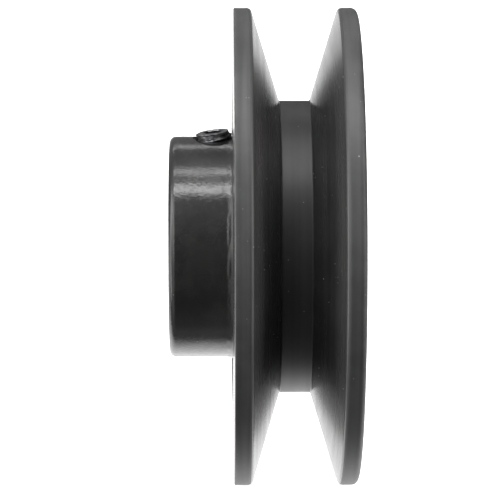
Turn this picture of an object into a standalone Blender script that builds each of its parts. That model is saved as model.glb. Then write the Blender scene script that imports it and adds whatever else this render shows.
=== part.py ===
"""A single-groove V-belt pulley with a fixed bore: one iron casting, a drive key and two set screws.

The pulley turns about +Y. Its hub points to -Y, the origin is on the bore's axis in the plane of the
groove's centre, and the keyway and the first set screw lie along +Z. Both set screws lean a little to the
hub's end, so that a wrench clears the rim. All sizes are in metres.
"""

import math

import bmesh
import bpy
from mathutils import Vector

MM = 0.001
INCH = 25.4 * MM

# Rim and groove
RIM_RADIUS = 3.35 / 2 * INCH
FACE_WIDTH = 7 / 8 * INCH
GROOVE_ANGLE = math.radians(34.0)
GROOVE_FLOOR_RADIUS = 26.05 * MM
GROOVE_FLOOR_WIDTH = 5.44 * MM
FRONT_CORNER = 0.25 * MM
BACK_CORNER = 1.1 * MM
GROOVE_LIP = 0.5 * MM
GROOVE_ROOT = 0.35 * MM

# Hub and web
HUB_RADIUS = 19.72 * MM
OVERALL_LENGTH = 33.4 * MM
HUB_CORNER = 1.25 * MM
RECESS_RADIUS = 30.1 * MM
FRONT_RECESS_DEPTH = 2.4 * MM
BACK_RECESS_DEPTH = 3.0 * MM
BACK_BOSS_RADIUS = 17.0 * MM
HUB_ROOT_FILLET = 3.4 * MM
WALL_FILLET = 1.5 * MM
RECESS_EDGE = 0.5 * MM

# Bore and keyway
BORE_RADIUS = 5 / 16 * INCH
BORE_CHAMFER = 0.6 * MM
KEYWAY_FLOOR = 10.07 * MM
KEY_SIDE = 3 / 16 * INCH
KEY_LENGTH = 5 / 4 * INCH
KEY_EDGE = 0.3 * MM
KEY_SIDE_GAP = 0.05 * MM
KEY_TOP_GAP = 0.11 * MM

# Set screws, 1/4-20 x 3/8 with a cup point
THREAD_RADIUS = 1 / 8 * INCH
THREAD_PITCH = INCH / 20
THREAD_DEPTH = 0.66 * MM
CREST_FLAT = 0.25
ROOT_FLAT = 0.12
SCREW_LENGTH = 3 / 8 * INCH
SCREW_END_CHAMFER = 0.3 * MM
SCREW_HOLE_GAP = 0.3 * MM
SOCKET_ACROSS_FLATS = 1 / 8 * INCH
SOCKET_DEPTH = 3.2 * MM
CUP_RADIUS = 1.65 * MM
CUP_DEPTH = 0.9 * MM
SCREW_LEAN = math.radians(7.0)
SCREW_STATION = -11.86 * MM
KEY_SCREW_PROUD = 1.08 * MM
SIDE_SCREW_SUNK = 0.8 * MM

# Smoothness
PULLEY_STEPS = 72
HOLE_STEPS = 24
THREAD_STEPS = 16
CUT_PAST = 5 * MM
SHARP_ANGLE = math.radians(28.0)

HUB_END = FACE_WIDTH / 2 - OVERALL_LENGTH
RIM_FRONT = -FACE_WIDTH / 2
RIM_BACK = FACE_WIDTH / 2


def clear_objects():
    """Remove every object in the file."""
    for obj in list(bpy.data.objects):
        bpy.data.objects.remove(obj, do_unlink=True)


def make_material(name, colour, roughness, metallic):
    """A Principled material of one colour."""
    material = bpy.data.materials.new(name)
    material.use_nodes = True
    shader = material.node_tree.nodes["Principled BSDF"]
    shader.inputs["Base Color"].default_value = (*colour, 1.0)
    shader.inputs["Roughness"].default_value = roughness
    shader.inputs["Metallic"].default_value = metallic
    return material


def add_object(name, bm, material=None):
    """Put a bmesh into a new object, with its faces pointing out and round faces shaded smooth."""
    bmesh.ops.recalc_face_normals(bm, faces=bm.faces)
    mesh = bpy.data.meshes.new(name)
    bm.to_mesh(mesh)
    bm.free()
    mesh.shade_smooth()
    mesh.set_sharp_from_angle(angle=SHARP_ANGLE)
    obj = bpy.data.objects.new(name, mesh)
    bpy.context.scene.collection.objects.link(obj)
    if material is not None:
        mesh.materials.append(material)
    return obj


def cut(obj, cutter):
    """Cut a closed shape out of an object with a live Boolean."""
    cutter.hide_render = True
    cutter.display_type = "WIRE"
    modifier = obj.modifiers.new("cut " + cutter.name, "BOOLEAN")
    modifier.operation = "DIFFERENCE"
    modifier.solver = "EXACT"
    modifier.object = cutter


def rounded_corner(before, corner, after, radius, steps):
    """Points of the arc that rounds one corner of an outline; one step makes it a chamfer."""
    to_before = (before - corner).normalized()
    to_after = (after - corner).normalized()
    half_angle = to_before.angle(to_after) / 2
    setback = radius / math.tan(half_angle)
    centre = corner + (to_before + to_after).normalized() * radius / math.sin(half_angle)
    start = corner + to_before * setback - centre
    end = corner + to_after * setback - centre
    return [centre + start.slerp(end, i / steps).normalized() * radius for i in range(steps + 1)]


def outline(corners):
    """A closed outline in (radius, station along the axis) from (radius, station, rounding, steps)."""
    points = []
    for i, (radius, station, rounding, steps) in enumerate(corners):
        corner = Vector((radius, station))
        if rounding == 0:
            points.append(corner)
            continue
        before = Vector(corners[i - 1][:2])
        after = Vector(corners[(i + 1) % len(corners)][:2])
        points += rounded_corner(before, corner, after, rounding, steps)
    return points


def casting_outline():
    """The turned section of rim, groove, web and hub, from the bore's hub end round to its back end."""
    groove_floor = GROOVE_FLOOR_WIDTH / 2
    groove_top = groove_floor + (RIM_RADIUS - GROOVE_FLOOR_RADIUS) * math.tan(GROOVE_ANGLE / 2)
    front_floor = RIM_FRONT + FRONT_RECESS_DEPTH
    back_floor = RIM_BACK - BACK_RECESS_DEPTH
    bore_mouth = BORE_RADIUS + BORE_CHAMFER
    return outline(
        [
            (BORE_RADIUS, HUB_END + BORE_CHAMFER, 0, 0),
            (bore_mouth, HUB_END, 0, 0),
            (HUB_RADIUS, HUB_END, HUB_CORNER, 2),
            (HUB_RADIUS, front_floor, HUB_ROOT_FILLET, 3),
            (RECESS_RADIUS, front_floor, WALL_FILLET, 2),
            (RECESS_RADIUS, RIM_FRONT, RECESS_EDGE, 1),
            (RIM_RADIUS, RIM_FRONT, FRONT_CORNER, 1),
            (RIM_RADIUS, -groove_top, GROOVE_LIP, 1),
            (GROOVE_FLOOR_RADIUS, -groove_floor, GROOVE_ROOT, 1),
            (GROOVE_FLOOR_RADIUS, groove_floor, GROOVE_ROOT, 1),
            (RIM_RADIUS, groove_top, GROOVE_LIP, 1),
            (RIM_RADIUS, RIM_BACK, BACK_CORNER, 2),
            (RECESS_RADIUS, RIM_BACK, RECESS_EDGE, 1),
            (RECESS_RADIUS, back_floor, WALL_FILLET, 2),
            (BACK_BOSS_RADIUS, back_floor, WALL_FILLET, 2),
            (BACK_BOSS_RADIUS, RIM_BACK, RECESS_EDGE, 1),
            (bore_mouth, RIM_BACK, 0, 0),
            (BORE_RADIUS, RIM_BACK - BORE_CHAMFER, 0, 0),
        ]
    )


def turned_solid(points):
    """Spin a closed outline of (radius, station) points once round the Y axis."""
    bm = bmesh.new()
    rim = [bm.verts.new((radius, station, 0)) for radius, station in points]
    edges = [bm.edges.new((rim[i - 1], rim[i])) for i in range(len(rim))]
    bmesh.ops.spin(
        bm,
        geom=rim + edges,
        cent=(0, 0, 0),
        axis=(0, 1, 0),
        angle=math.tau,
        steps=PULLEY_STEPS,
        use_merge=True,
    )
    return bm


def round_bar(name, radius, low, high, sides, end_radius=None):
    """A round bar along its own Z from low to high; end_radius makes it a cone."""
    bm = bmesh.new()
    bmesh.ops.create_cone(
        bm,
        cap_ends=True,
        segments=sides,
        radius1=radius,
        radius2=radius if end_radius is None else end_radius,
        depth=high - low,
    )
    bmesh.ops.translate(bm, verts=bm.verts, vec=(0, 0, (low + high) / 2))
    return add_object(name, bm)


def box(name, size, centre, material=None):
    """A box of the given size and centre."""
    bm = bmesh.new()
    bmesh.ops.create_cube(bm, size=1)
    bmesh.ops.scale(bm, verts=bm.verts, vec=size)
    bmesh.ops.translate(bm, verts=bm.verts, vec=centre)
    return add_object(name, bm, material)


def make_casting(screw_places):
    """The casting, with its keyway and a tapped hole's drilling for each set screw."""
    iron = make_material("dark_cast_iron", (0.045, 0.045, 0.047), 0.45, 0.2)
    casting = add_object("pulley_casting", turned_solid(casting_outline()), iron)
    keyway = box(
        "keyway_cutter",
        (KEY_SIDE + 2 * KEY_SIDE_GAP, OVERALL_LENGTH + 2 * CUT_PAST, KEYWAY_FLOOR),
        (0, (HUB_END + RIM_BACK) / 2, KEYWAY_FLOOR / 2),
    )
    cut(casting, keyway)
    for name, turn, _ in screw_places:
        hole = round_bar(
            name + "_hole_cutter",
            THREAD_RADIUS + SCREW_HOLE_GAP,
            BORE_RADIUS / 2,
            HUB_RADIUS + CUT_PAST,
            HOLE_STEPS,
        )
        hole.location = (0, SCREW_STATION, 0)
        hole.rotation_euler = (SCREW_LEAN, turn, 0)
        cut(casting, hole)
    return casting


def thread_radius_at(height, turn):
    """Radius of the screw's surface: a V thread with flat crests and roots, chamfered at both ends."""
    phase = (height / THREAD_PITCH - turn) % 1.0
    from_crest = abs(phase - 0.5) * 2
    wave = (1 - ROOT_FLAT - from_crest) / (1 - ROOT_FLAT - CREST_FLAT)
    wave = min(1.0, max(0.0, wave))
    from_end = max(0.0, min(height, SCREW_LENGTH - height))
    chamfer = THREAD_RADIUS - SCREW_END_CHAMFER + from_end
    return min(THREAD_RADIUS - THREAD_DEPTH * (1 - wave), chamfer)


def threaded_bar():
    """A right-hand threaded bar along Z, made of rows that climb one pitch a turn between two round ends."""
    rows_per_pitch = 5
    last_row = math.ceil(SCREW_LENGTH / THREAD_PITCH) * rows_per_pitch
    bm = bmesh.new()
    columns = []
    for step in range(THREAD_STEPS):
        turn = step / THREAD_STEPS
        direction = Vector((math.cos(turn * math.tau), math.sin(turn * math.tau), 0))
        heights = [(row / rows_per_pitch + turn) * THREAD_PITCH for row in range(-rows_per_pitch, last_row)]
        low = THREAD_PITCH / (2 * rows_per_pitch)
        inner = [height for height in heights if low < height < SCREW_LENGTH - low]
        columns.append(
            [
                bm.verts.new(direction * thread_radius_at(height, turn) + Vector((0, 0, height)))
                for height in [0.0, *inner, SCREW_LENGTH]
            ]
        )
    for step, column in enumerate(columns):
        fill_between(bm, column, columns[(step + 1) % THREAD_STEPS])
    for end in (0, -1):
        bm.faces.new([column[end] for column in columns])
    return bm


def fill_between(bm, left, right):
    """Fill the strip between two columns of points, taking next whichever point is lower."""
    i = 0
    j = 0
    while i < len(left) - 1 or j < len(right) - 1:
        left_next = left[i + 1].co.z if i < len(left) - 1 else math.inf
        right_next = right[j + 1].co.z if j < len(right) - 1 else math.inf
        if left_next <= right_next:
            bm.faces.new((left[i], right[j], left[i + 1]))
            i += 1
        else:
            bm.faces.new((left[i], right[j], right[j + 1]))
            j += 1


def make_set_screw(name, turn, socket_radius, steel):
    """A socket set screw whose socket end lies socket_radius from the bore's axis, turned about +Y from +Z.

    Its own axis crosses the bore's axis at SCREW_STATION and leans by SCREW_LEAN.
    """
    screw = add_object(name, threaded_bar(), steel)
    socket = round_bar(
        name + "_socket_cutter",
        SOCKET_ACROSS_FLATS / math.sqrt(3),
        SCREW_LENGTH - SOCKET_DEPTH,
        SCREW_LENGTH + CUT_PAST,
        6,
    )
    cup = round_bar(name + "_cup_cutter", CUP_RADIUS * 2, -CUP_DEPTH, CUP_DEPTH, HOLE_STEPS // 2, 0)
    for cutter in (socket, cup):
        cutter.parent = screw
        cut(screw, cutter)
    screw.rotation_euler = (SCREW_LEAN, turn, 0)
    along = screw.rotation_euler.to_matrix() @ Vector((0, 0, 1))
    to_point = socket_radius / math.cos(SCREW_LEAN) - SCREW_LENGTH
    screw.location = Vector((0, SCREW_STATION, 0)) + along * to_point
    return screw


def make_drive_key():
    """The square key, which lies in the keyway a little short of both ends of the bore."""
    steel = make_material("bright_key_steel", (0.50, 0.50, 0.49), 0.35, 1.0)
    key_top = KEYWAY_FLOOR - KEY_TOP_GAP
    key = box("drive_key", (KEY_SIDE, KEY_LENGTH, KEY_SIDE), (0, 0, 0), steel)
    key.location = (0, (HUB_END + RIM_BACK) / 2, key_top - KEY_SIDE / 2)
    bevel = key.modifiers.new("edges", "BEVEL")
    bevel.width = KEY_EDGE
    bevel.segments = 2
    return key


def main():
    """Build the four pieces."""
    clear_objects()
    black_steel = make_material("black_oxide_steel", (0.03, 0.03, 0.03), 0.4, 0.8)
    screw_places = [
        ("key_set_screw", 0.0, HUB_RADIUS + KEY_SCREW_PROUD),
        ("side_set_screw", -math.pi / 2, HUB_RADIUS - SIDE_SCREW_SUNK),
    ]
    make_casting(screw_places)
    for name, turn, socket_radius in screw_places:
        make_set_screw(name, turn, socket_radius, black_steel)
    make_drive_key()


main()
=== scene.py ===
"""Looks of a single-groove V-belt pulley: a turned and painted iron casting, two set screws and a key.

The pulley turns about Y, its hub points to -Y, and the first set screw stands up along Z. Each shape is a
surface worked out on a grid with numpy, in metres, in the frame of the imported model.
"""

import logging
import math
from dataclasses import dataclass
from enum import Enum

import bpy
import numpy as np
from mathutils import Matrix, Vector


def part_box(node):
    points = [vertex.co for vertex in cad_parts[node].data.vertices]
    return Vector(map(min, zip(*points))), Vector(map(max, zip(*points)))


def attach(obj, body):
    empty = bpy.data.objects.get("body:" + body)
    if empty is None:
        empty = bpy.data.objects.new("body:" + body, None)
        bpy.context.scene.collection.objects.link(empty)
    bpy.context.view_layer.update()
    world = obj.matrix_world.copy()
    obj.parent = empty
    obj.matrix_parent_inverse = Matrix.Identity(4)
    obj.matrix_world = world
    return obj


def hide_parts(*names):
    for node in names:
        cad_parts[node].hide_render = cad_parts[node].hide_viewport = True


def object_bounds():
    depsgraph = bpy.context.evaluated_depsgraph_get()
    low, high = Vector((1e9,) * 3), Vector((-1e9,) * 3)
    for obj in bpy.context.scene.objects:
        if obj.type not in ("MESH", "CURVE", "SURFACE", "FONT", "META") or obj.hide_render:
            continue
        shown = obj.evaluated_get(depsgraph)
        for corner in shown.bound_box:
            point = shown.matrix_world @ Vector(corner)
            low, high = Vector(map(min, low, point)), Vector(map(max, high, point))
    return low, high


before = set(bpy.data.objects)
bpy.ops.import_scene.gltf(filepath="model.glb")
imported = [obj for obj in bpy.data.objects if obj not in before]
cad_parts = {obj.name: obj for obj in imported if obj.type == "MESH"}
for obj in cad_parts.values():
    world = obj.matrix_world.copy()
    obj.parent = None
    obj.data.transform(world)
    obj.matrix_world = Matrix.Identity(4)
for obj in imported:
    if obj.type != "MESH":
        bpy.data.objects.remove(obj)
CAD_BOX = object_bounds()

MM = 0.001
INCH = 25.4 * MM
LOG = logging.getLogger("pulley")

# An arc's points are no further apart than this length, nor than this turn.
ARC_STEP = 0.3 * MM
ARC_TURN = math.radians(12)

# A stretch has a point this far from each end, or at this share of a short one.
HOLD = 0.05 * MM
HOLD_SHARE = 0.25

# Factors, and (shift, factor) pairs, that scatter a lattice corner's place and seed into noise.
LATTICE_FACTORS = np.array([73856093, 19349663, 83492791])
SEED_FACTOR = 2654435761
SCATTERS = ((13, 1274126177), (16, 2246822519))

# Height of each layer of noise over the one before.
LAYER_FALL = 0.55

Array = np.ndarray
Object = bpy.types.Object
Material = bpy.types.Material
Socket = bpy.types.NodeSocket
Colour = tuple[float, float, float, float]
Stops = tuple[tuple[float, float], ...]
Value = float | tuple[float, ...] | Socket


class Zone(Enum):
    """Where on the casting a face lies; the value is its material's place on the object."""

    PAINTED = 0
    TURNED = 1
    FLANK = 2
    BORED = 3
    FLOOR = 4


# ---------------------------------------------------------------------------------------------------
# Mesh work


def value_noise(places: Array, cell: float, seed: int) -> Array:
    """Smooth noise from -1 to 1 at each place.

    Random values sit on a cubic lattice; between its corners they blend by t*t*(3 - 2t) on each axis.

    Args:
        places: Points, the last axis holding x, y and z.
        cell: Side of a lattice cube.
        seed: Picks one of many patterns.

    Returns:
        One value for each point.
    """
    scaled = places / cell
    base = np.floor(scaled).astype(np.int64)
    share = scaled - base
    share = share * share * (3 - 2 * share)
    total = np.zeros(places.shape[:-1])
    for corner in np.ndindex(2, 2, 2):
        lattice = (base + np.array(corner)) * LATTICE_FACTORS
        mixed = np.bitwise_xor.reduce(lattice, axis=-1) ^ (seed * SEED_FACTOR)
        for shift, factor in SCATTERS:
            mixed = ((mixed ^ (mixed >> shift)) * factor) & 0xFFFFFFFF
        value = ((mixed >> 8) & 0xFFFF) / 0x7FFF - 1
        weight = np.prod(np.where(np.array(corner) == 1, share, 1 - share), axis=-1)
        total += weight * value
    return total


def layered_noise(places: Array, cell: float, layers: int, seed: int) -> Array:
    """Value noise in layers, each with half the cell and LAYER_FALL of the height of the one before."""
    total = np.zeros(places.shape[:-1])
    for layer in range(layers):
        total += value_noise(places, cell / 2**layer, seed + layer) * LAYER_FALL**layer
    return total


def smooth_step(low: float, high: float, value: Array) -> Array:
    """0 below low, 1 above high, and t*t*(3 - 2t) between them."""
    share = np.clip((value - low) / (high - low), 0, 1)
    return share * share * (3 - 2 * share)


def ring_faces(rows: int, columns: int, closed_rows: bool) -> Array:
    """Quads of a grid whose columns close into rings, and whose rows close as well if asked.

    The corners of quad (i, j) are (i, j), (i, j+1), (i+1, j+1), (i+1, j), each index taken modulo its
    count, and the result has four point numbers for each quad.
    """
    i, j = np.meshgrid(np.arange(rows if closed_rows else rows - 1), np.arange(columns), indexing="ij")
    i_next = (i + 1) % rows
    j_next = (j + 1) % columns
    quads = [i * columns + j, i * columns + j_next, i_next * columns + j_next, i_next * columns + j]
    return np.stack(quads, axis=-1).reshape(-1, 4)


def volume_of(points: Array, quads: Array) -> float:
    """Signed volume of a closed mesh of quads: the sum of a . (b x c) / 6 over both halves of each."""
    a, b, c, d = (points[quads[:, k]] for k in range(4))
    halves = np.einsum("ij,ij->i", a, np.cross(b, c)) + np.einsum("ij,ij->i", a, np.cross(c, d))
    return float(halves.sum() / 6)


def new_object(name: str, data: bpy.types.ID) -> Object:
    """An object that shows this data, linked into the scene."""
    obj = bpy.data.objects.new(name, data)
    bpy.context.scene.collection.objects.link(obj)
    return obj


def new_mesh_object(name: str, points: list, faces: list) -> Object:
    """An object whose mesh has these points and faces."""
    mesh = bpy.data.meshes.new(name)
    mesh.from_pydata(points, [], faces)
    mesh.update()
    return new_object(name, mesh)


def mesh_from_grid(name: str, points: Array, quads: Array, fans: Array | None = None) -> Object:
    """An object whose mesh has these quads, and triangles for the fans at its poles, facing outwards.

    Args:
        name: Name of the object and its mesh.
        points: Points, three numbers each.
        quads: Point numbers, four for each quad.
        fans: Point numbers, three for each triangle, turned the same way as the quads.

    Returns:
        The new object.
    """
    whole = quads if fans is None else np.vstack([quads, fans[:, [0, 1, 2, 2]]])
    faces = quads.tolist() + ([] if fans is None else fans.tolist())
    if volume_of(points, whole) < 0:
        faces = [face[::-1] for face in faces]
    return new_mesh_object(name, points.tolist(), faces)


def shell_between_poles(name: str, rings: Array, first_pole: Array, last_pole: Array) -> Object:
    """A closed object made of rings, shut at each end by a fan of triangles to a pole.

    The rings' axes are the ring, the point's place round it, and x, y, z.
    """
    rows, columns, _ = rings.shape
    points = np.vstack([rings.reshape(-1, 3), first_pole, last_pole])
    quads = ring_faces(rows, columns, closed_rows=False)
    here = np.arange(columns)
    after = (here + 1) % columns
    first = np.stack([np.full(columns, rows * columns), after, here], axis=-1)
    top = (rows - 1) * columns
    last = np.stack([np.full(columns, rows * columns + 1), top + here, top + after], axis=-1)
    return mesh_from_grid(name, points, quads, np.vstack([first, last]))


def cut_away(obj: Object, cutters: list[Object]) -> None:
    """Cut closed shapes out of an object, keep the result as its plain mesh, and remove the cutters.

    The faces that a cutter leaves have the cutter's own material.
    """
    for cutter in cutters:
        modifier = obj.modifiers.new("cut", "BOOLEAN")
        modifier.operation = "DIFFERENCE"
        modifier.solver = "MANIFOLD"
        modifier.object = cutter
    graph = bpy.context.evaluated_depsgraph_get()
    cut_mesh = bpy.data.meshes.new_from_object(obj.evaluated_get(graph))
    obj.modifiers.clear()
    old_mesh = obj.data
    obj.data = cut_mesh
    bpy.data.meshes.remove(old_mesh)
    cut_mesh.name = obj.name
    for cutter in cutters:
        bpy.data.meshes.remove(cutter.data)


def points_of(obj: Object) -> Array:
    """The points of an object's mesh, as rows of x, y and z."""
    flat = np.empty(len(obj.data.vertices) * 3, np.float32)
    obj.data.vertices.foreach_get("co", flat)
    return flat.reshape(-1, 3).astype(float)


def paint_attribute(obj: Object, name: str, values: Array) -> None:
    """Store one number for each point, for a material to read by name."""
    attribute = obj.data.attributes.new(name, "FLOAT", "POINT")
    attribute.data.foreach_set("value", values.astype(np.float32))


def shade(obj: Object, sharp_from: float) -> None:
    """Shade an object smooth, except at edges that turn by more than sharp_from degrees."""
    obj.data.shade_smooth()
    obj.data.set_sharp_from_angle(angle=math.radians(sharp_from))


# ---------------------------------------------------------------------------------------------------
# Outlines of turned shapes


@dataclass(frozen=True)
class Corner:
    """One corner of a turned outline, and what the stretch after it is like.

    Attributes:
        radius: Distance from the axis.
        station: Place along the axis.
        rounding: Radius of the arc that rounds the corner, or 0.
        zone: Finish of the stretch that follows.
        step: Greatest distance between points on that stretch.
    """

    radius: float
    station: float
    rounding: float
    zone: Zone
    step: float

    @property
    def place(self) -> Array:
        """The corner as (radius, station)."""
        return np.array([self.radius, self.station])


def corner_arc(before: Corner, corner: Corner, after: Corner) -> Array:
    """Points, as (radius, station), of the arc that rounds a corner; their number is odd.

    The arc's centre lies on the corner's bisector at rounding / sin(half the angle), and a direction
    from it to a point of the arc is start * sin((1-t)a) + end * sin(ta), over sin(a).
    """
    rounding = corner.rounding
    back = (before.place - corner.place) / np.linalg.norm(before.place - corner.place)
    on = (after.place - corner.place) / np.linalg.norm(after.place - corner.place)
    half = math.acos(float(np.clip(back @ on, -1, 1))) / 2
    bisector = (back + on) / np.linalg.norm(back + on)
    centre = corner.place + bisector * rounding / math.sin(half)
    start = corner.place + back * rounding / math.tan(half) - centre
    end = corner.place + on * rounding / math.tan(half) - centre
    turn = math.pi - 2 * half
    spacing = min(before.step, ARC_STEP)
    half_count = max(math.ceil(turn * rounding / spacing / 2), math.ceil(turn / ARC_TURN / 2))
    share = np.linspace(0, 1, 2 * half_count + 1)[:, None]
    return centre + (start * np.sin((1 - share) * turn) + end * np.sin(share * turn)) / math.sin(turn)


def outline_of(corners: list[Corner]) -> tuple[Array, Array]:
    """A closed outline with its corners rounded and its long stretches divided.

    A point close to each end of a stretch keeps the shading of a rounded corner off the flat beside it.

    Returns:
        Points as (radius, station), and the zone's number for the stretch after each point.
    """
    neighbours = zip(corners[-1:] + corners[:-1], corners, corners[1:] + corners[:1])
    arcs = [corner_arc(*three) if three[1].rounding else three[1].place[None] for three in neighbours]
    points = []
    zones = []
    for i, (corner, arc) in enumerate(zip(corners, arcs)):
        goal = arcs[(i + 1) % len(arcs)][0]
        length = np.linalg.norm(goal - arc[-1])
        count = max(1, math.ceil(length / corner.step))
        near_end = min(HOLD / length, HOLD_SHARE)
        share = np.unique(np.concatenate([[near_end, 1 - near_end], np.arange(1, count) / count]))[:, None]
        points += [arc, arc[-1] + (goal - arc[-1]) * share]
        first_half = len(arc) // 2
        zones += [corners[i - 1].zone.value] * first_half
        zones += [corner.zone.value] * (len(arc) - first_half + len(share))
    return np.vstack(points), np.array(zones)


def outline_normals(points: Array) -> Array:
    """Unit normals of a closed outline: the chord between a point's neighbours, turned a quarter."""
    chord = np.roll(points, -1, axis=0) - np.roll(points, 1, axis=0)
    normal = np.stack([chord[:, 1], -chord[:, 0]], axis=-1)
    area = 0.5 * np.sum(points[:, 0] * np.roll(points[:, 1], -1) - points[:, 1] * np.roll(points[:, 0], -1))
    return normal * np.sign(area) / np.linalg.norm(normal, axis=1, keepdims=True)


# ---------------------------------------------------------------------------------------------------
# Materials


class Wiring:
    """A node tree, with short calls for the nodes that the finishes and the surround use."""

    def __init__(self, tree: bpy.types.NodeTree) -> None:
        """Take over a tree."""
        self.tree = tree

    def give(self, socket: Socket, value: Value) -> None:
        """Link a socket to another node's, or set its value."""
        if isinstance(value, Socket):
            self.tree.links.new(value, socket)
        else:
            socket.default_value = value

    def node(self, kind: str, inputs: dict[str | int, Value] | None = None, **settings) -> bpy.types.Node:
        """Add a node.

        Args:
            kind: Blender's name for the node.
            inputs: A number, a vector or another node's socket for each input, by name or place.
            **settings: The node's own settings.

        Returns:
            The new node.
        """
        made = self.tree.nodes.new(kind)
        for name, setting in settings.items():
            setattr(made, name, setting)
        for name, value in (inputs or {}).items():
            self.give(made.inputs[name], value)
        return made

    def result_of(self, operation: str, a: Value, b: Value = 0.0, c: Value = 0.0) -> Socket:
        """The result of a Math node with up to three inputs."""
        return self.node("ShaderNodeMath", {0: a, 1: b, 2: c}, operation=operation).outputs[0]

    def times(self, a: Value, b: Value) -> Socket:
        """a * b."""
        return self.result_of("MULTIPLY", a, b)

    def line(self, value: Value, slope: Value, base: Value) -> Socket:
        """value * slope + base."""
        return self.result_of("MULTIPLY_ADD", value, slope, base)


class Finish(Wiring):
    """A material's node tree, with the patterns that the finishes share."""

    def __init__(self, name: str) -> None:
        """Start a material with a bare Principled shader."""
        self.material = bpy.data.materials.new(name)
        self.material.use_nodes = True
        super().__init__(self.material.node_tree)
        self.shader = self.tree.nodes["Principled BSDF"]
        self.place = self.node("ShaderNodeTexCoord").outputs["Object"]

    def set(self, **inputs: Value) -> None:
        """Give the shader's inputs, named with _ for a space, a value or a socket."""
        for name, value in inputs.items():
            self.give(self.shader.inputs[name.replace("_", " ")], value)

    def wear(self) -> Socket:
        """The wear that the mesh stores for each point; on a screw it also holds painted light in the socket.
        """
        return self.node("ShaderNodeAttribute", attribute_name="wear").outputs["Fac"]

    def between(self, value: Socket, low: float, high: float, start: float = 0.0, end: float = 1.0) -> Socket:
        """Carry value from the range low..high to start..end, with smooth ends and nothing outside."""
        inputs = {"Value": value, "From Min": low, "From Max": high, "To Min": start, "To Max": end}
        return self.node("ShaderNodeMapRange", inputs, interpolation_type="SMOOTHSTEP").outputs["Result"]

    def noise(self, place: Socket, per_mm: float, detail: float = 2.0, rough: float = 0.5) -> Socket:
        """Noise from about 0 to 1 with per_mm waves in a millimetre."""
        inputs = {"Vector": place, "Scale": per_mm / MM, "Detail": detail, "Roughness": rough}
        return self.node("ShaderNodeTexNoise", inputs).outputs["Fac"]

    def blend(self, factor: Value, low: Value, high: Value) -> Socket:
        """Mix two colours."""
        return self.node("ShaderNodeMix", {0: factor, 6: low, 7: high}, data_type="RGBA").outputs[2]

    def stretched(self, scale: tuple[float, float, float]) -> Socket:
        """Object coordinates, stretched by a factor on each axis."""
        return self.node("ShaderNodeMapping", {"Vector": self.place, "Scale": scale}).outputs["Vector"]

    def lathe_place(self, around: float) -> tuple[Socket, Socket]:
        """Coordinates that follow a tool's path on a shape turned about Y.

        The radius is sqrt(x*x + z*z). The tool's place is (radius, y, around * x / radius), so that a
        pattern on it runs round the axis in long streaks.

        Args:
            around: Length by which the pattern moves on in a radian of turn, in metres.

        Returns:
            The tool's place and the radius.
        """
        parts = self.node("ShaderNodeSeparateXYZ", {0: self.place}).outputs
        flat = self.node("ShaderNodeCombineXYZ", {0: parts[0], 2: parts[2]}).outputs[0]
        radius = self.node("ShaderNodeVectorMath", {0: flat}, operation="LENGTH").outputs["Value"]
        along = self.times(self.result_of("DIVIDE", parts[0], radius), around)
        return self.node("ShaderNodeCombineXYZ", {0: radius, 1: parts[1], 2: along}).outputs[0], radius

    def specks(self, per_mm: float, size: float, share: float) -> Socket:
        """Round specks in a share of the cells: 1 near a cell's own point, fading from 0.6 size to size."""
        cells = self.node("ShaderNodeTexVoronoi", {"Vector": self.place, "Scale": per_mm / MM})
        near = self.between(cells.outputs["Distance"], size * 0.6, size, 1.0, 0.0)
        pick = self.node("ShaderNodeSeparateColor", {0: cells.outputs["Color"]}).outputs[0]
        return self.times(near, self.result_of("LESS_THAN", pick, share))

    def bumps(self, *layers: tuple[Socket, float]) -> Socket:
        """A normal bent by layers of height, from 0 to 1, that each stand for a depth in metres."""
        normal = {}
        for height, depth in layers:
            inputs = {"Height": height, "Distance": depth, "Strength": 1.0, **normal}
            normal = {"Normal": self.node("ShaderNodeBump", inputs).outputs[0]}
        return normal["Normal"]


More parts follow.
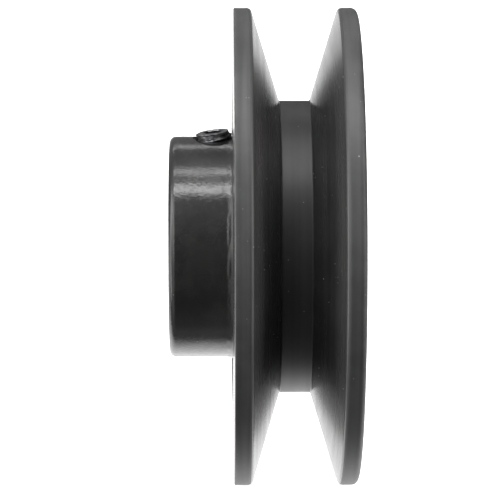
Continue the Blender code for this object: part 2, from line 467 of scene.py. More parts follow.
@dataclass(frozen=True)
class TurnedIron:
    """Dark matte coating over turned iron, with tool lines, worn edges, dust and scuffs; the flank finish
    adds painted light near the groove's lips, and the floor finish adds painted shade.

    Attributes:
        gloss: Strength of the reflections, before smears.
        line_depth: Depth of the tool lines.
        line_tone: How far the tool lines' colour goes towards light.
        lip_tone: How far the colour goes towards the worn colour at the rim's outside, as painted light on
            the groove's sides near the lips.
        smear: Lowest and highest share of gloss in the smears.
    """

    dark: Colour = (0.020, 0.020, 0.0205, 1)
    light: Colour = (0.032, 0.032, 0.0325, 1)
    # Worn iron; the flank finish also blends towards this colour near the lips as painted light.
    worn: Colour = (0.085, 0.083, 0.080, 1)
    dust: Colour = (0.42, 0.42, 0.41, 1)
    roughness: float = 0.50
    gloss: float = 0.50
    line_depth: float = 0.0012 * MM
    line_tone: float = 0.25
    lip_tone: float = 0.0
    smear: tuple[float, float] = (0.74, 1.12)
    name: str = "turned_iron"

    @classmethod
    def flank(cls) -> "TurnedIron":
        """The finer finish of the groove's two sides, with painted light that makes them lighter towards the
        lips.
        """
        return cls(
            roughness=0.26,
            line_depth=0.0002 * MM,
            line_tone=0.08,
            lip_tone=0.34,
            smear=(0.90, 1.05),
            name="turned_iron_flank",
        )

    @classmethod
    def floor(cls) -> "TurnedIron":
        """The groove's floor, which no belt touches: a smoother, less glossy finish, with darker colours that
        paint the shade of the groove's walls on it.
        """
        return cls(
            # Painted shade: darker than the other turned faces' colours, standing for the shadow deep in the
            # groove.
            dark=(0.005, 0.005, 0.0052, 1),
            light=(0.009, 0.009, 0.0092, 1),
            roughness=0.45,
            gloss=0.40,
            line_depth=0.0004 * MM,
            line_tone=0.10,
            smear=(0.93, 1.04),
            name="turned_iron_floor_painted_shade",
        )

    def material(self) -> Material:
        """Build the material."""
        finish = Finish(self.name)
        tool, radius = finish.lathe_place(2 * MM)
        lines = finish.noise(tool, 3.2, 3.0, 0.6)
        bands = finish.noise(tool, 0.75)
        cloud = finish.noise(finish.place, 0.16, 3.0, 0.6)
        grain = finish.noise(finish.place, 6.0, 2.0, 0.6)
        patchy = finish.times(finish.wear(), finish.between(cloud, 0.42, 0.62, 0.25, 1.0))
        dust = finish.result_of("ADD", finish.specks(0.75, 0.10, 0.10), finish.specks(1.7, 0.13, 0.035))
        dust = finish.times(finish.result_of("MINIMUM", dust, 1.0), 0.55)
        scuffs = finish.noise(finish.stretched((1.0, 0.35, 1.0)), 0.9, 4.0, 0.72)
        scuffs = finish.between(scuffs, 0.70, 0.80, 0.0, 0.30)
        scuffs = finish.times(scuffs, finish.between(cloud, 0.50, 0.62))

        tone = finish.line(bands, 0.5, finish.times(cloud, 0.5))
        colour = finish.blend(finish.between(tone, 0.36, 0.64), self.dark, self.light)
        colour = finish.blend(finish.between(lines, 0.62, 0.80, 0.0, self.line_tone), colour, self.light)
        # Painted light: towards the rim's outside the colour goes towards the worn colour, standing in for
        # the side light that reaches the groove's sides only near the lips.
        outer = finish.between(radius, 33 * MM, 42 * MM, 0.0, self.lip_tone)
        for factor in (outer, finish.times(patchy, 0.75), scuffs):
            colour = finish.blend(factor, colour, self.worn)
        colour = finish.blend(dust, colour, self.dust)

        low, high = (share * self.gloss for share in self.smear)
        gloss = finish.between(finish.noise(tool, 0.42), 0.36, 0.58, low, high)
        rough = finish.line(bands, 0.10, self.roughness - 0.05)
        rough = finish.line(patchy, -0.08, rough)
        rough = finish.line(dust, 0.3, rough)
        normal = finish.bumps((grain, 0.0018 * MM), (lines, self.line_depth), (bands, 2.2 * self.line_depth))
        finish.set(Base_Color=colour, Roughness=rough, Normal=normal, Specular_IOR_Level=gloss)
        return finish.material


@dataclass(frozen=True)
class GlossPaint:
    """Thick black gloss paint on rough cast iron, with orange peel, specks of dust and worn corners."""

    base: Colour = (0.0085, 0.0085, 0.0088, 1)
    thin: Colour = (0.017, 0.0165, 0.016, 1)
    worn: Colour = (0.04, 0.04, 0.04, 1)
    dust: Colour = (0.30, 0.30, 0.29, 1)
    roughness: float = 0.13

    def material(self) -> Material:
        """Build the material."""
        finish = Finish("gloss_black_paint")
        swell = finish.noise(finish.place, 0.55)
        peel = finish.noise(finish.place, 2.4, 2.0, 0.6)
        grit = finish.noise(finish.place, 5.0, 2.0, 0.6)
        cloud = finish.noise(finish.place, 0.13)
        dust = finish.times(finish.specks(1.1, 0.10, 0.05), 0.6)
        colour = finish.blend(finish.between(cloud, 0.4, 0.65), self.base, self.thin)
        colour = finish.blend(finish.times(finish.wear(), 0.5), colour, self.worn)
        colour = finish.blend(dust, colour, self.dust)
        mottle = finish.between(finish.noise(finish.place, 1.3, 2.0, 0.7), 0.47, 0.62, 0.0, 0.10)
        rough = finish.line(cloud, 0.08, self.roughness - 0.05)
        rough = finish.result_of("ADD", rough, mottle)
        rough = finish.line(dust, 0.4, rough)
        normal = finish.bumps((swell, 0.022 * MM), (peel, 0.024 * MM), (grit, 0.006 * MM))
        finish.set(Base_Color=colour, Roughness=rough, Normal=normal, Metallic=0.0)
        return finish.material


@dataclass(frozen=True)
class BoredIron:
    """Bare grey iron inside the bore, keyway and tapped holes, with fine tool lines and graphite specks."""

    light: Colour = (0.36, 0.355, 0.345, 1)
    dark: Colour = (0.20, 0.197, 0.19, 1)
    graphite: Colour = (0.05, 0.05, 0.05, 1)

    def material(self) -> Material:
        """Build the material."""
        finish = Finish("bored_iron")
        lines = finish.noise(finish.lathe_place(1 * MM)[0], 5.0, 3.0, 0.6)
        cloud = finish.noise(finish.place, 0.3, 3.0, 0.6)
        colour = finish.blend(finish.between(cloud, 0.35, 0.65), self.dark, self.light)
        colour = finish.blend(finish.times(finish.specks(4.0, 0.22, 0.3), 0.5), colour, self.graphite)
        normal = finish.bumps((lines, 0.003 * MM))
        finish.set(Base_Color=colour, Roughness=finish.line(lines, 0.2, 0.24), Normal=normal, Metallic=1.0)
        return finish.material


@dataclass(frozen=True)
class BlackOxide:
    """Black oxide on a rolled thread, rubbed to steel on its crests and edges, with painted light as lighter
    steel in the socket, and an oily film.
    """

    oxide: Colour = (0.085, 0.085, 0.09, 1)
    steel: Colour = (0.36, 0.36, 0.37, 1)

    def material(self) -> Material:
        """Build the material."""
        finish = Finish("black_oxide_steel")
        fine = finish.noise(finish.place, 7.0, 3.0, 0.6)
        cloud = finish.noise(finish.place, 0.9, 3.0, 0.6)
        # The mesh's wear is real rubbing on the crests and end face, and painted light on the socket's walls.
        rubbed = finish.times(finish.wear(), finish.between(cloud, 0.42, 0.60, 0.15, 0.85))
        colour = finish.blend(rubbed, self.oxide, self.steel)
        normal = finish.bumps((fine, 0.003 * MM))
        finish.set(Base_Color=colour, Roughness=finish.line(cloud, 0.22, 0.20), Normal=normal, Metallic=1.0)
        return finish.material


@dataclass(frozen=True)
class DrawnSteel:
    """Bright cold-drawn key steel, with lines along its length, smudges and a few rust freckles."""

    light: Colour = (0.56, 0.55, 0.53, 1)
    dark: Colour = (0.38, 0.375, 0.36, 1)
    rust: Colour = (0.16, 0.075, 0.035, 1)

    def material(self) -> Material:
        """Build the material."""
        finish = Finish("drawn_key_steel")
        lines = finish.noise(finish.stretched((1.0, 0.03, 1.0)), 6.0, 3.0, 0.6)
        smudge = finish.noise(finish.place, 0.35, 3.0, 0.6)
        freckles = finish.times(finish.specks(1.1, 0.16, 0.06), 0.6)
        colour = finish.blend(finish.between(smudge, 0.35, 0.65), self.dark, self.light)
        colour = finish.blend(freckles, colour, self.rust)
        rough = finish.line(freckles, 0.4, finish.line(smudge, 0.2, 0.20))
        normal = finish.bumps((lines, 0.004 * MM))
        finish.set(Base_Color=colour, Roughness=rough, Normal=normal, Metallic=1.0)
        return finish.material


# ---------------------------------------------------------------------------------------------------
# The pieces


@dataclass(frozen=True)
class ScrewThread:
    """A right-hand V thread along a screw's own axis.

    Attributes:
        radius: Outside radius of the crests.
        pitch: Distance from crest to crest.
        depth: Height of a crest over the roots.
        start: Turn, from 0 to 1, at which a crest passes the screw's point.
        half_angle: Half the angle between two flanks.
        crest_share: Half the crest's flat, as a share of the pitch.
        rounding: How much the roots and crests are eased.
    """

    radius: float
    pitch: float
    depth: float
    start: float
    half_angle: float = math.radians(30)
    crest_share: float = 1 / 16
    rounding: float = 0.06

    def radius_at(self, height: Array, turn: Array) -> Array:
        """Radius of the thread's surface.

        With d the distance along the axis from the nearest crest, the radius falls from the crest by
        depth * (d - flat) / flank, held between the crest and the root and eased towards both.

        Args:
            height: Distance along the axis from the screw's point.
            turn: Angle round the axis, where 1 is a full turn.

        Returns:
            The radius at each height and turn.
        """
        phase = (height / self.pitch - turn - self.start) % 1.0
        from_crest = np.minimum(phase, 1 - phase) * self.pitch
        flank = self.depth * math.tan(self.half_angle)
        share = np.clip((from_crest - self.pitch * self.crest_share) / flank, 0, 1)
        share = share + self.rounding * np.sin(2 * math.pi * share) * (share - 1)
        return self.radius - self.depth * share


@dataclass(frozen=True)
class ScrewPlace:
    """Where a screw lies: its point, the direction to its socket, and the direction of turn 0."""

    point: Array
    along: Array
    side: Array

    def on_axis(self, height: float) -> Array:
        """The point of the screw's axis at a height over its point."""
        return self.point + self.along * height

    def to_frame(self, radius: Array, turn: Array, height: Array) -> Array:
        """Points in the frame from a radius, a turn and a height in the screw's own terms."""
        other = np.cross(self.along, self.side)
        angle = 2 * math.pi * turn
        across = (radius * np.cos(angle))[..., None] * self.side + (radius * np.sin(angle))[..., None] * other
        return self.point + across + height[..., None] * self.along


class SetScrew:
    """A socket set screw: rolled thread, chamfered ends, a hexagon socket and a cup point."""

    columns = 144
    rows_per_pitch = 22
    length = INCH * 3 / 8
    radius = INCH / 8
    thread_depth = 0.42 * MM
    pitch = INCH / 20
    end_chamfer = 0.20 * MM
    socket_across = INCH / 8
    socket_depth = 3.2 * MM
    socket_chamfer = 0.12 * MM
    socket_cone = 0.6 * MM
    cone_ring = (0.4, 0.35 * MM)
    cup_radius = 1.65 * MM
    cup_depth = 0.9 * MM
    cup_shares = (0.3, 0.7)
    edge = 0.06 * MM
    lean = math.radians(7)
    face_shares = (0.02, 0.3, 0.6, 0.97)
    crest_wear = 0.16 * MM
    face_wear = 0.1 * MM
    sharp_from = 40
    tap_clearance = 0.06 * MM
    tap_columns = 48
    tap_rows_per_pitch = 8
    tap_start = 5.0 * MM
    tap_past = 2.0 * MM
    mouth_gap = 0.25 * MM
    mouth_limit = 0.6 * MM

    def __init__(self, node: str, body: str, radial: tuple[float, float, float], start: float) -> None:
        """Read the screw's place from its CAD node.

        The screw leans from the radial direction r to the hub's end: its axis is r cos a - y sin a.

        Args:
            node: The CAD node.
            body: The body that it rides on.
            radial: Direction from the pulley's axis to the screw.
            start: Turn at which the thread starts.
        """
        self.node = node
        self.body = body
        low, high = (np.array(corner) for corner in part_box(node))
        outward = np.array(radial, float)
        hub_end_way = np.array([0.0, -1.0, 0.0])
        along = outward * math.cos(self.lean) + hub_end_way * math.sin(self.lean)
        side = outward * math.sin(self.lean) - hub_end_way * math.cos(self.lean)
        point = (low + high) / 2 - along * self.length / 2
        self.place = ScrewPlace(point, along, side)
        self.thread = ScrewThread(self.radius, self.pitch, self.thread_depth, start)

    def thread_rows(self, turn: Array) -> tuple[Array, Array]:
        """Radius and height of the threaded side, eased to a 45 degree chamfer at both ends."""
        rows = round(self.length / self.pitch * self.rows_per_pitch)
        height = np.broadcast_to(np.linspace(0, self.length, rows)[:, None], (rows, self.columns))
        radius = self.thread.radius_at(height, turn)
        from_end = np.minimum(height, self.length - height)
        return np.minimum(radius, self.radius - self.end_chamfer + from_end), height

    def hexagon(self, turn: Array) -> Array:
        """Distance from the axis to the socket's wall: half the flats over the cosine to the nearest flat."""
        to_flat = (turn * 6) % 1.0 - 0.5
        return self.socket_across / 2 / np.cos(to_flat * math.pi / 3)

    def rings(self, turn: Array) -> tuple[Array, Array]:
        """Radius and height of every ring, from the cup's bottom over the thread to the socket's bottom.

        The cup is a cone with rings at cup_shares of its radius. The socket's bottom is a cone too, whose
        one ring lies at cone_ring: a share of the hexagon's width, and a depth below the walls.
        """
        side_radius, side_height = self.thread_rows(turn)
        hexagon = self.hexagon(turn)
        socket_mouth = hexagon + self.socket_chamfer
        point, face = (np.minimum(side_radius[end], self.radius - self.end_chamfer) for end in (0, -1))
        socket_bottom = self.length - self.socket_depth
        cone_share, cone_depth = self.cone_ring
        rings = [
            *((share * self.cup_radius, (1 - share) * self.cup_depth) for share in self.cup_shares),
            (self.cup_radius - self.edge, self.edge),
            (self.cup_radius, 0),
            (point - self.edge, 0),
            *zip(side_radius[1:-1], side_height[1:-1]),
            *((face - share * (face - socket_mouth), self.length) for share in self.face_shares),
            (socket_mouth, self.length),
            (hexagon, self.length - self.socket_chamfer),
            (hexagon, self.length - 0.5 * self.socket_depth),
            (hexagon, socket_bottom),
            (cone_share * hexagon, socket_bottom - cone_depth),
        ]
        whole = [[np.broadcast_to(value, self.columns) for value in ring] for ring in rings]
        radius, height = np.moveaxis(np.array(whole, float), 1, 0)
        return radius, height

    def build(self, material: Material) -> Object:
        """Make the screw's mesh, and store how rubbed its crests and end face are, and the painted light on
        its socket's walls.
        """
        turn = np.arange(self.columns) / self.columns
        socket_bottom = self.length - self.socket_depth
        radius, height = self.rings(turn)
        shell = self.place.to_frame(radius, np.broadcast_to(turn, radius.shape), height)
        poles = (self.place.on_axis(self.cup_depth), self.place.on_axis(socket_bottom - self.socket_cone))
        obj = shell_between_poles(self.node + "_threaded", shell, *poles)
        crest = smooth_step(self.radius - self.crest_wear, self.radius, radius)
        # The end face is rubbed; the socket's walls get painted light, rising from the socket's bottom to its
        # mouth.
        rubbed_face_and_lit_socket = smooth_step(socket_bottom, self.length - self.face_wear, height)
        rubbed_face_and_lit_socket *= 1 - smooth_step(self.radius - self.end_chamfer, self.radius, radius)
        wear = np.maximum(0.8 * crest, 0.9 * rubbed_face_and_lit_socket)
        paint_attribute(obj, "wear", np.concatenate([wear.ravel(), [0, 0]]))
        obj.data.materials.append(material)
        shade(obj, self.sharp_from)
        return obj

    def tap(self, hub_radius: float, material: Material) -> Object:
        """The shape that taps this screw's hole.

        Its thread has half the screw's depth and lies wholly outside the screw's crests, so that the
        screw can slide without turning. It opens into a 45 degree countersink at the hub's surface.
        """
        turn = np.arange(self.tap_columns) / self.tap_columns
        inner = math.hypot(self.place.point[0], self.place.point[2]) / math.cos(self.lean)
        surface = hub_radius / math.cos(self.lean) - inner
        step = self.pitch / self.tap_rows_per_pitch
        heights = np.arange(self.tap_start - inner, surface + self.tap_past, step)
        height = np.broadcast_to(heights[:, None], (len(heights), len(turn)))
        above_root = self.thread.radius_at(height, turn) - self.radius + self.thread_depth
        radius = self.radius + self.tap_clearance + above_root / 2
        mouth = self.radius + self.mouth_gap + height - surface
        radius = np.maximum(radius, np.minimum(mouth, self.radius + self.mouth_limit))
        shell = self.place.to_frame(radius, np.broadcast_to(turn, radius.shape), height)
        ends = (self.place.on_axis(end) for end in heights[[0, -1]])
        cutter = shell_between_poles(self.node + "_tap", shell, *ends)
        cutter.data.materials.append(material)
        return cutter


class Casting:
    """The one-piece iron casting: rim with its V groove, web, hub and keyed bore."""

    steps = 252
    groove_angle = math.radians(34)
    groove_floor_radius = 26.05 * MM
    groove_floor_width = 5.44 * MM
    hub_radius = 19.72 * MM
    hub_corner = 1.25 * MM
    hub_root = 3.4 * MM
    recess_radius = 30.1 * MM
    front_recess = 2.4 * MM
    back_recess = 3.0 * MM
    boss_radius = 17.0 * MM
    wall_fillet = 1.5 * MM
    recess_edge = 0.5 * MM
    front_corner = 0.25 * MM
    back_corner = 1.1 * MM
    face_draft = 0.26 * MM
    lip = 0.9 * MM
    groove_root = 0.35 * MM
    bore_radius = INCH * 5 / 16
    bore_chamfer = 0.6 * MM
    face_width = INCH * 7 / 8
    keyway_width = INCH * 3 / 16 + 0.1 * MM
    keyway_floor = 10.07 * MM
    cast_relief = 0.012 * MM
    swell_cell = 4.0 * MM
    grain_cell = 1.3 * MM
    grain_share = 0.35
    bead_height = 0.07 * MM
    bead_width = 0.26 * MM
    bead_offset = 0.45 * MM
    bead_waver = 0.22 * MM
    waver_cell = 3.0 * MM
    gap_cell = 1.7 * MM
    rested_band = (0.90, 0.97)
    scuff_band = (1.9 * MM, 0.7 * MM)
    keyway_past = 3 * MM
    sharp_from = 35

    def __init__(self) -> None:
        """Read the outer sizes from the CAD node."""
        low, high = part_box("pulley_casting")
        self.rim_radius = high.z
        self.hub_end = low.y
        self.rim_back = high.y
        self.rim_front = high.y - self.face_width

    def corners(self) -> list[Corner]:
        """Corners of the turned section, from the bore's hub end, round the rim, to its back end."""
        floor = self.groove_floor_width / 2
        slope = math.tan(self.groove_angle / 2)
        top = floor + (self.rim_radius - self.groove_floor_radius) * slope
        front = self.rim_front + self.front_recess
        back = self.rim_back - self.back_recess
        mouth = self.bore_radius + self.bore_chamfer
        root = front - self.hub_root
        finest, fine, middle, coarse = 0.2 * MM, 0.6 * MM, 0.9 * MM, 2.0 * MM
        return [
            Corner(self.bore_radius, self.hub_end + self.bore_chamfer, 0, Zone.BORED, middle),
            Corner(mouth, self.hub_end, 0, Zone.PAINTED, middle),
            Corner(self.hub_radius, self.hub_end, self.hub_corner, Zone.PAINTED, fine),
            Corner(self.hub_radius, root - 0.6 * MM, 0, Zone.PAINTED, finest),
            Corner(self.hub_radius, front, self.hub_root, Zone.PAINTED, middle),
            Corner(self.recess_radius, front, self.wall_fillet, Zone.PAINTED, middle),
            Corner(self.recess_radius, self.rim_front, self.recess_edge, Zone.FLANK, middle),
            Corner(self.rim_radius, self.rim_front + self.face_draft, self.front_corner, Zone.TURNED, middle),
            Corner(self.rim_radius, -top, self.lip, Zone.FLANK, coarse),
            Corner(self.groove_floor_radius, -floor, self.groove_root, Zone.FLOOR, middle),
            Corner(self.groove_floor_radius, floor, self.groove_root, Zone.FLANK, coarse),
            Corner(self.rim_radius, top, self.lip, Zone.TURNED, middle),
            Corner(self.rim_radius, self.rim_back, self.back_corner, Zone.TURNED, coarse),
            Corner(self.recess_radius, self.rim_back, self.recess_edge, Zone.PAINTED, middle),
            Corner(self.recess_radius, back, self.wall_fillet, Zone.PAINTED, middle),
            Corner(self.boss_radius, back, self.wall_fillet, Zone.PAINTED, middle),
            Corner(self.boss_radius, self.rim_back, self.recess_edge, Zone.TURNED, coarse),
            Corner(mouth, self.rim_back, 0, Zone.BORED, middle),
            Corner(self.bore_radius, self.rim_back - self.bore_chamfer, 0, Zone.BORED, coarse),
        ]

    def relief(self, places: Array, painted: Array) -> Array:
        """How far the painted cast surface stands out of the true one.

        It is layered noise times the casting's relief, plus a bead of pooled paint where the hub meets
        its root fillet: bead height * exp(-(d / bead width)^2), with d the distance along the axis from a
        wavering line just past the fillet's start, broken up round the hub by noise.
        """
        rough = value_noise(places, self.swell_cell, 11) * self.cast_relief
        rough += layered_noise(places, self.grain_cell, 2, 31) * self.grain_share * self.cast_relief
        bead_line = self.rim_front + self.front_recess - self.hub_root + self.bead_offset
        radius = np.hypot(places[..., 0], places[..., 2])
        on_hub = smooth_step(self.hub_radius + 1.2 * MM, self.hub_radius + 0.2 * MM, radius)
        waver = value_noise(places, self.waver_cell, 5) * self.bead_waver
        broken = 0.4 + 0.6 * layered_noise(places, self.gap_cell, 2, 23)
        bead = np.exp(-(((places[..., 1] - bead_line - waver) / self.bead_width) ** 2))
        return painted * (rough + bead * broken * on_hub * self.bead_height)

    def wear_at(self, points: Array) -> Array:
        """How worn each point is: 1 on an outer corner's own circle, fading out over its rounding.

        Where the rim's corners rest on the floor they also have scuffs, which are stretched noise. The
        bands are how low a point lies, over the rim's radius, and how far it is from the rim's side.
        """
        radius = np.hypot(points[:, 0], points[:, 2])
        circles = [
            (self.rim_radius, self.rim_front, 0.45 * MM),
            (self.rim_radius, self.rim_back, 0.55 * MM),
            (self.recess_radius, self.rim_front, 0.4 * MM),
            (self.recess_radius, self.rim_back, 0.4 * MM),
            (self.hub_radius, self.hub_end, 0.7 * MM),
            (self.boss_radius, self.rim_back, 0.5 * MM),
        ]
        wear = np.zeros(len(points))
        for ring_radius, station, reach in circles:
            away = np.hypot(radius - ring_radius, points[:, 1] - station)
            wear = np.maximum(wear, np.exp(-((away / reach) ** 2)))
        rested = smooth_step(*self.rested_band, -points[:, 2] / self.rim_radius)
        off_corner = np.minimum(points[:, 1] - self.rim_front, self.rim_back - points[:, 1])
        scuffs = smooth_step(0.15, 0.5, value_noise(points * [0.4, 1.0, 0.25], 0.45 * MM, 41))
        return np.maximum(wear, 2.0 * rested * scuffs * smooth_step(*self.scuff_band, off_corner))

    def build(self, materials: dict[Zone, Material], cutters: list[Object]) -> Object:
        """Turn the outline about Y, press the cast relief into it, and cut the keyway and tapped holes.

        The cutters are the taps for the screws' holes. The relief moves points along the outline's normal.
        """
        outline, zones = outline_of(self.corners())
        true_places = self.turned(outline[:, :1], outline[:, 1:])
        painted = smooth_step(0.2, 1.0, self.paint_share(zones))[:, None]
        height = self.relief(true_places, painted)
        moved = outline[:, None, :] + outline_normals(outline)[:, None, :] * height[..., None]
        places = self.turned(moved[..., 0], moved[..., 1])
        quads = ring_faces(len(outline), self.steps, closed_rows=True)
        obj = mesh_from_grid("pulley_iron_casting", places.reshape(-1, 3), quads)
        for zone in Zone:
            obj.data.materials.append(materials[zone])
        obj.data.polygons.foreach_set("material_index", np.repeat(zones, self.steps).astype(np.int32))
        cut_away(obj, [self.keyway_cutter(materials[Zone.BORED]), *cutters])
        paint_attribute(obj, "wear", self.wear_at(points_of(obj)))
        shade(obj, self.sharp_from)
        return obj

    def turned(self, radius: Array, station: Array) -> Array:
        """Points (r sin a, y, r cos a) of a grid turned about Y, from each row's radius and station."""
        angle = np.arange(self.steps) * 2 * math.pi / self.steps
        x = radius * np.sin(angle)
        z = radius * np.cos(angle)
        return np.stack([x, np.broadcast_to(station, x.shape), z], axis=-1)

    @staticmethod
    def paint_share(zones: Array) -> Array:
        """1 in the painted zones and 0 elsewhere, averaged over each point and its two neighbours."""
        share = (zones == Zone.PAINTED.value).astype(float)
        return (np.roll(share, 1) + share + np.roll(share, -1)) / 3

    def keyway_cutter(self, material: Material) -> Object:
        """A bar of the keyway's width that runs past both ends of the bore, from the axis to its floor."""
        half = self.keyway_width / 2
        x = [-half, half, half, -half]
        z = [0, 0, self.keyway_floor, self.keyway_floor]
        ends = (self.hub_end - self.keyway_past, self.rim_back + self.keyway_past)
        rings = np.array([np.stack([x, np.full(4, end), z], axis=-1) for end in ends])
        cutter = shell_between_poles("keyway_cutter", rings, *rings.mean(axis=1))
        cutter.data.materials.append(material)
        return cutter


class DriveKey:
    """The square key that lies in the keyway."""

    edge = 0.3 * MM
    arc_points = 7
    side_points = 6
    middle_rings = 38
    sharp_from = 40

    def __init__(self) -> None:
        """Read the key's box from its CAD node."""
        self.low, self.high = (np.array(corner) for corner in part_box("drive_key"))

    def section(self, inset: float) -> Array:
        """The key's rounded square section as (x, z), drawn in by inset.

        Each corner is an arc of the edge's radius: centre + edge * (cos a, sin a) over a quarter turn,
        and each side between two arcs has points of its own.
        """
        low = self.low[[0, 2]] + self.edge
        high = self.high[[0, 2]] - self.edge
        centres = np.array([[high[0], high[1]], [low[0], high[1]], [low[0], low[1]], [high[0], low[1]]])
        angles = np.linspace(0, math.pi / 2, self.arc_points) + np.arange(4)[:, None] * math.pi / 2
        arcs = np.stack([np.cos(angles), np.sin(angles)], axis=-1) * (self.edge - inset)
        arcs = centres[:, None, :] + arcs
        ends = arcs[:, -1:, :]
        starts = np.roll(arcs[:, :1, :], -1, axis=0)
        share = np.linspace(0, 1, self.side_points + 2)[1:-1][None, :, None]
        return np.concatenate([arcs, ends + (starts - ends) * share], axis=1).reshape(-1, 2)

    def build(self, material: Material) -> Object:
        """Carry the section along Y, with both ends rounded by a quarter circle of the edge's radius."""
        quarter = np.linspace(0, math.pi / 2, self.arc_points)
        inset = self.edge * (1 - np.sin(quarter))
        lead = self.edge * (1 - np.cos(quarter))
        ends = (self.low[1] + self.edge, self.high[1] - self.edge)
        middle = np.linspace(*ends, self.middle_rings + 2)[1:-1]
        stations = np.concatenate([self.low[1] + lead, middle, (self.high[1] - lead)[::-1]])
        insets = np.concatenate([inset, np.zeros(len(middle)), inset[::-1]])
        sections = np.stack([self.section(i) for i in insets])
        along = np.broadcast_to(stations[:, None], sections.shape[:2])
        rings = np.stack([sections[..., 0], along, sections[..., 1]], axis=-1)
        centre = (self.low + self.high) / 2
        poles = [np.array([centre[0], end, centre[2]]) for end in (self.low[1], self.high[1])]
        obj = shell_between_poles("square_drive_key", rings, *poles)
        obj.data.materials.append(material)
        shade(obj, self.sharp_from)
        return obj


# ---------------------------------------------------------------------------------------------------
# The studio


@dataclass(frozen=True)
class Softbox:
    """A rectangular lamp aimed at the pulley.

    Attributes:
        name: Its name.
        towards: Direction from the pulley to the lamp.
        distance: Distance from the pulley.
        size: Width, and height across it.
        radiance: How bright its face looks.
    """

    name: str
    towards: tuple[float, float, float]
    distance: float
    size: tuple[float, float]
    radiance: float

    def build(self) -> None:
        """Hang the lamp; its power is pi * area * radiance."""
        lamp = bpy.data.lights.new(self.name, "AREA")
        lamp.shape = "RECTANGLE"
        lamp.size, lamp.size_y = self.size
        lamp.energy = math.pi * self.size[0] * self.size[1] * self.radiance
        obj = new_object(self.name, lamp)
        direction = Vector(self.towards).normalized()
        obj.location = direction * self.distance
        obj.rotation_euler = direction.to_track_quat("Z", "Y").to_euler()
        obj.visible_camera = False


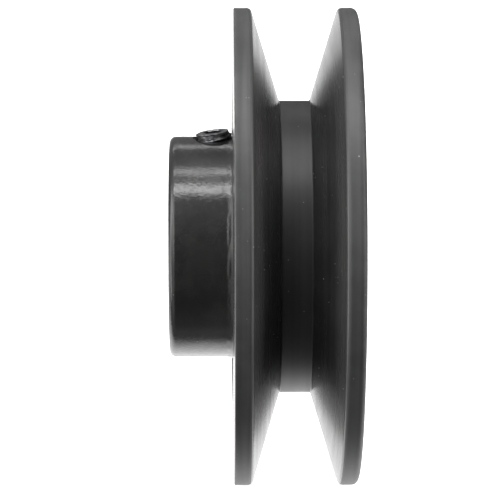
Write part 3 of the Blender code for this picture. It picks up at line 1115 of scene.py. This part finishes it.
class Studio:
    """A pale floor, soft lamps, a surround that lights from every direction, and the camera."""

    camera_elevation = math.radians(11.5)
    camera_distance = 533 * MM
    camera_station = -13.8 * MM
    target_station = -7.9 * MM
    target_drop = 0.63 * MM
    half_view = math.radians(4.795)
    sensor = 36.0
    view_end = 20.0
    floor_half = 4.0
    brightest = 4.0
    side_glow = 3.2

    # Radiance by the angle round the pulley's axis: 0 is the camera's side, 90 above, -90 below.
    radiance_by_angle: Stops = (
        (-180, 2.4), (-173, 1.9), (-165, 1.6), (-150, 2.2), (-135, 2.4), (-122, 1.95), (-113, 0.4),
        (-104, 0.35), (-100, 0.55), (-95, 0.3), (-60, 0.17), (-14, 0.15), (10, 0.3), (45, 0.95),
        (75, 1.7), (95, 1.0), (110, 0.5), (150, 0.25), (167, 0.25), (172, 1.6), (180, 2.4),
    )

    # Shares of the glow beside the hub, by that angle and by the lean along Y.
    glow_by_angle: Stops = (
        (-180, 0), (-100, 0), (-70, 0.25), (-20, 0.35), (0, 0.9), (45, 1.0), (60, 0), (180, 0),
    )
    glow_by_lean: Stops = ((-180, 0), (-60, 0.0), (-40, 0.8), (-22, 1.0), (-9, 0), (180, 0))

    def around(self, degrees: float, sideways: float = 0.0) -> tuple[float, float, float]:
        """A direction that many degrees up and over from the camera's, leaning sideways along Y."""
        angle = self.camera_elevation + math.radians(degrees)
        lean = math.radians(sideways)
        return (math.cos(angle) * math.cos(lean), math.sin(lean), math.sin(angle) * math.cos(lean))

    def lamps(self) -> list[Softbox]:
        """Three strips along Y over the front, the top and the rear, and a panel at each side."""
        return [
            Softbox("front_top_strip", self.around(61), 0.9, (0.7, 0.17), 9.0),
            Softbox("top_strip", self.around(83), 0.9, (0.7, 0.10), 6.5),
            Softbox("rear_top_strip", self.around(127), 0.9, (0.7, 0.07), 3.0),
            Softbox("hub_side_panel", self.around(15, -70), 1.0, (0.5, 1.8), 3.4),
            Softbox("back_side_panel", self.around(15, 66), 1.0, (0.5, 1.8), 3.7),
        ]

    def build(self) -> None:
        """Set up the floor, lamps, surround and camera."""
        self.build_floor()
        for lamp in self.lamps():
            lamp.build()
        self.build_surround()
        self.build_camera()

    def build_floor(self) -> None:
        """A pale sheet under the rim, wide enough to fill the view behind the pulley."""
        height = CAD_BOX[0].z
        half = self.floor_half
        points = [(-half, -half, height), (half, -half, height), (half, half, height), (-half, half, height)]
        floor = new_mesh_object("floor", points, [(0, 1, 2, 3)])
        finish = Finish("floor_paper")
        finish.set(Base_Color=(0.9, 0.9, 0.9, 1), Roughness=0.9, Specular_IOR_Level=0.1)
        finish.set(Emission_Color=(1, 1, 1, 1), Emission_Strength=0.95)
        floor.data.materials.append(finish.material)
        floor.visible_glossy = False
        floor.visible_diffuse = False

    @staticmethod
    def ramp_over(wiring: Wiring, angle: Socket, stops: Stops, brightest: float = 1.0) -> Socket:
        """A level from 0 to 1 for an angle in radians, from stops of degrees and radiance."""
        inputs = {"Value": angle, "From Min": -math.pi, "From Max": math.pi}
        share = wiring.node("ShaderNodeMapRange", inputs).outputs["Result"]
        ramp = wiring.node("ShaderNodeValToRGB", {0: share})
        elements = ramp.color_ramp.elements
        for index, (degrees, radiance) in enumerate(stops):
            at = (degrees + 180) / 360
            level = radiance / brightest
            element = elements[index] if index < 2 else elements.new(at)
            element.position = at
            element.color = (level, level, level, 1)
        return ramp.outputs["Color"]

    def build_surround(self) -> None:
        """Light from all round, by direction; the camera itself sees plain white."""
        world = bpy.data.worlds.new("surround")
        bpy.context.scene.world = world
        world.use_nodes = True
        world.node_tree.nodes.clear()
        wiring = Wiring(world.node_tree)
        place = wiring.node("ShaderNodeTexCoord").outputs["Generated"]
        inputs = {"Vector": place, "Rotation": (0, self.camera_elevation, 0)}
        turned = wiring.node("ShaderNodeMapping", inputs).outputs["Vector"]
        parts = wiring.node("ShaderNodeSeparateXYZ", {0: turned}).outputs
        angle = wiring.result_of("ARCTAN2", parts[2], parts[0])
        lean = wiring.result_of("ARCSINE", parts[1])
        glow = wiring.times(
            self.ramp_over(wiring, angle, self.glow_by_angle),
            self.ramp_over(wiring, lean, self.glow_by_lean),
        )
        level = self.ramp_over(wiring, angle, self.radiance_by_angle, self.brightest)
        total = wiring.line(glow, self.side_glow / self.brightest, level)
        lit = wiring.node("ShaderNodeBackground", {"Color": total, "Strength": self.brightest})
        seen = wiring.node("ShaderNodeBackground", {"Color": (1, 1, 1, 1)})
        from_camera = wiring.node("ShaderNodeLightPath").outputs["Is Camera Ray"]
        inputs = {0: from_camera, 1: lit.outputs[0], 2: seen.outputs[0]}
        wiring.node("ShaderNodeOutputWorld", {0: wiring.node("ShaderNodeMixShader", inputs).outputs[0]})
        bpy.context.scene.view_settings.view_transform = "Standard"

    def build_camera(self) -> None:
        """A long lens beside the hub, a little above the axis, turned a little towards the rim."""
        towards = Vector(self.around(0))
        up = Vector(self.around(90))
        camera = new_object("camera", bpy.data.cameras.new("camera"))
        camera.data.sensor_width = self.sensor
        camera.data.lens = self.sensor / 2 / math.tan(self.half_view)
        camera.data.clip_end = self.view_end
        camera.location = towards * self.camera_distance + Vector((0, self.camera_station, 0))
        target = Vector((0, self.target_station, 0)) - up * self.target_drop
        camera.rotation_euler = (camera.location - target).to_track_quat("Z", "Y").to_euler()
        bpy.context.scene.camera = camera


def place_piece(obj: Object, body: str, node: str) -> None:
    """Make a piece ride on its body in place of its CAD node, and report it."""
    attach(obj, body)
    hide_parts(node)
    LOG.info("%s rides on %s in place of %s: %d faces", obj.name, body, node, len(obj.data.polygons))


def main() -> None:
    """Build every piece in order, then the studio."""
    logging.basicConfig(level=logging.INFO, format="%(message)s")
    finishes = {
        Zone.PAINTED: GlossPaint(),
        Zone.TURNED: TurnedIron(),
        Zone.FLANK: TurnedIron.flank(),
        Zone.BORED: BoredIron(),
        Zone.FLOOR: TurnedIron.floor(),
    }
    materials = {zone: finish.material() for zone, finish in finishes.items()}
    black_oxide = BlackOxide().material()
    screws = [
        SetScrew("key_set_screw", "key_screw", (0, 0, 1), 0.82),
        SetScrew("side_set_screw", "side_screw", (-1, 0, 0), 0.3),
    ]
    casting = Casting()
    taps = [screw.tap(casting.hub_radius, materials[Zone.BORED]) for screw in screws]
    place_piece(casting.build(materials, taps), "pulley", "pulley_casting")
    for screw in screws:
        place_piece(screw.build(black_oxide), screw.body, screw.node)
    place_piece(DriveKey().build(DrawnSteel().material()), "key", "drive_key")
    Studio().build()


if __name__ == "__main__":
    main()
